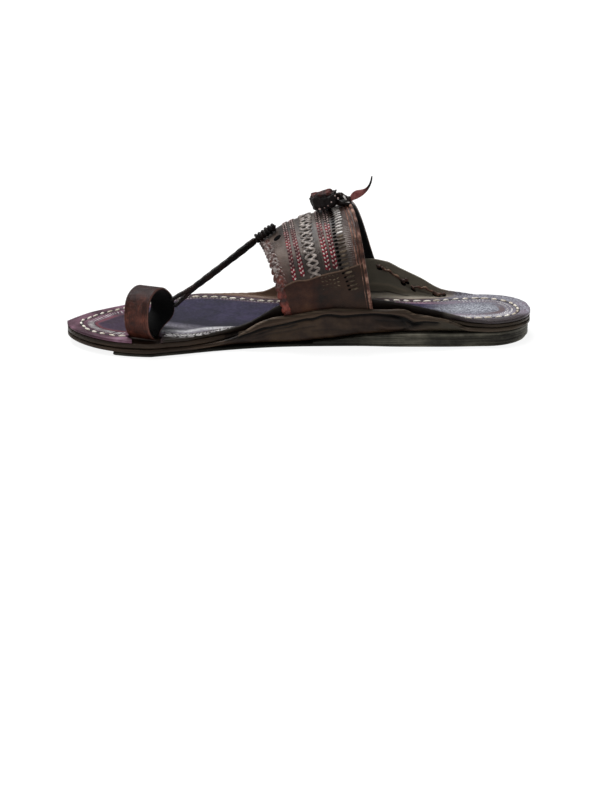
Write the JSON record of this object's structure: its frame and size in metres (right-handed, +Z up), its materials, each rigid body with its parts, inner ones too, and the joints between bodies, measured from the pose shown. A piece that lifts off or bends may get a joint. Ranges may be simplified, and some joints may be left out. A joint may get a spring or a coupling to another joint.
{
  "type": "sandal",
  "caption": "Right-foot handmade leather sandal with a stacked sole, a braided instep band, a big-toe loop on a thong, and a pompom with a curled tail",
  "frame": {"origin": "centre of the bounding box in plan, on the ground that the sole rests on", "axes": "+X towards the toe, +Y towards the inner side of the foot (the wearer's left), +Z up"},
  "size_m": [0.2798, 0.1048, 0.0956],
  "materials": {
    "sole_leather": "dark waxed sole leather",
    "edge_leather": "dark brown folded leather, satin",
    "insole_leather": "dark violet-brown leather, polished",
    "band_leather": "grey-brown leather with braided rows",
    "loop_leather": "brown leather, tooled",
    "cord_leather": "near-black twisted leather cord",
    "pompom_leather": "dark red-brown gathered leather"
  },
  "bodies": {
    "root": {"tread": "sole_leather", "heel_lift": "sole_leather", "outsole": "edge_leather", "midsole": "edge_leather", "insole": "insole_leather", "instep_band": "band_leather", "toe_loop": "loop_leather", "toe_thong": "cord_leather", "thong_binding": "cord_leather", "pompom": "pompom_leather", "bow_knot": "cord_leather", "bow_tail": "pompom_leather"}
  },
  "joints": []
}
